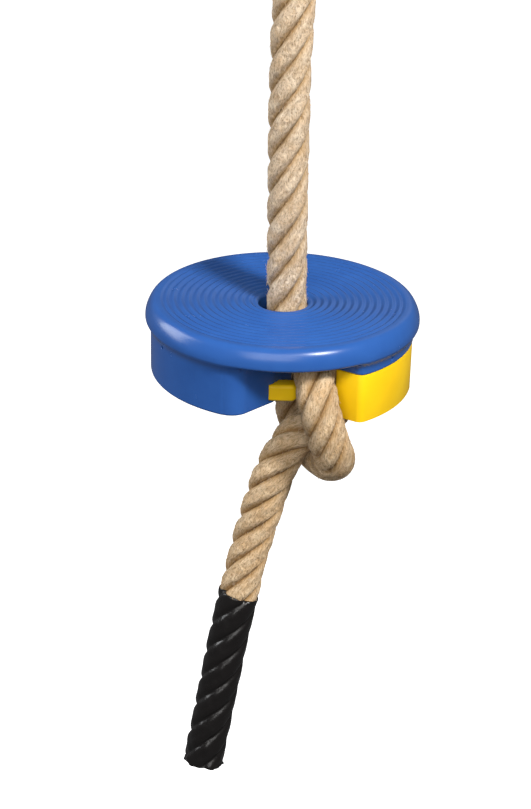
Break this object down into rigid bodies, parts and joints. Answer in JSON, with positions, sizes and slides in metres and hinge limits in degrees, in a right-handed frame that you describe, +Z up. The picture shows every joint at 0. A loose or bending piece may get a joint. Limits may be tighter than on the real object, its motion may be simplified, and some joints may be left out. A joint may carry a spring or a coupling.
{
  "type": "disc rope swing",
  "caption": "Round plastic disc seat on a thick knotted rope, with a swing-out locking gate, a spring latch and a swivelling cardan hanger.",
  "frame": {"origin": "centre of the top face of the hanger plate, where it bolts up against a beam", "axes": "+Z up, out of the plate's top face; +X along the plate's length, to the gate's side of the seat; -Y towards the mouth where the rope enters the seat"},
  "size_m": [0.29, 0.29, 1.014],
  "materials": {
    "blue_plastic": "satin",
    "yellow_plastic": "satin",
    "black_plastic": "matte",
    "hemp": "matte",
    "shrink_sleeve": "gloss",
    "zinc": "satin",
    "cast_link": "satin",
    "bolt_steel": "satin",
    "spring_steel": "satin",
    "bronze": "satin"
  },
  "bodies": {
    "hanger": {"hanger_bracket": "zinc", "upper_bolt": "bolt_steel", "upper_nut": "bolt_steel"},
    "cross_link": {"cross_link": "cast_link", "link_bushes": "bronze"},
    "yoke": {"yoke": "zinc", "lower_bolt": "bolt_steel", "lower_nut": "bolt_steel", "swivel_bush": "bronze"},
    "swing": {"thrust_washer": "bronze", "swivel_bolt": "bolt_steel", "swivel_nut": "bolt_steel", "rope_socket": "zinc", "socket_bolts": "bolt_steel", "socket_nuts": "bolt_steel", "rope": "hemp", "end_sleeve": "shrink_sleeve", "seat_shell": "blue_plastic", "seat_skirt": "blue_plastic", "seat_hub": "blue_plastic", "pocket_wall": "blue_plastic", "gate_wall": "blue_plastic", "screw_posts": "blue_plastic", "left_cover": "blue_plastic", "right_cover": "blue_plastic", "cover_screws": "bolt_steel", "gate_carrier": "black_plastic", "side_screw": "black_plastic", "carrier_screws": "bolt_steel", "gate_bolt": "bolt_steel", "gate_washers": "bolt_steel", "gate_nut": "bolt_steel", "latch_housing": "black_plastic", "housing_screws": "bolt_steel", "latch_spring": "spring_steel"},
    "gate": {"lock_gate": "yellow_plastic", "gate_bush": "bronze"},
    "latch": {"latch_tongue": "yellow_plastic"}
  },
  "joints": [
    {"name": "swing_fore_aft", "type": "hinge", "parent": "hanger", "child": "cross_link", "pos_m": [0, 0, -0.026], "axis": [1, 0, 0], "range_deg": [-50, 50]},
    {"name": "swing_sideways", "type": "hinge", "parent": "cross_link", "child": "yoke", "pos_m": [0, 0, -0.054], "axis": [0, 1, 0], "range_deg": [-40, 40]},
    {"name": "rope_swivel", "type": "hinge", "parent": "yoke", "child": "swing", "pos_m": [0, 0, -0.08], "axis": [0, 0, 1], "continuous": true},
    {"name": "gate_swing", "type": "hinge", "parent": "swing", "child": "gate", "pos_m": [0.114, -0.02, -0.55], "axis": [0, 0, 1], "range_deg": [0, 90]},
    {"name": "latch_slide", "type": "slide", "parent": "swing", "child": "latch", "axis": [-1, 0, 0], "range_m": [0, 0.018], "stiffness_N_per_m": 400, "springref_m": -0.01, "deforming": ["latch_spring"]}
  ]
}
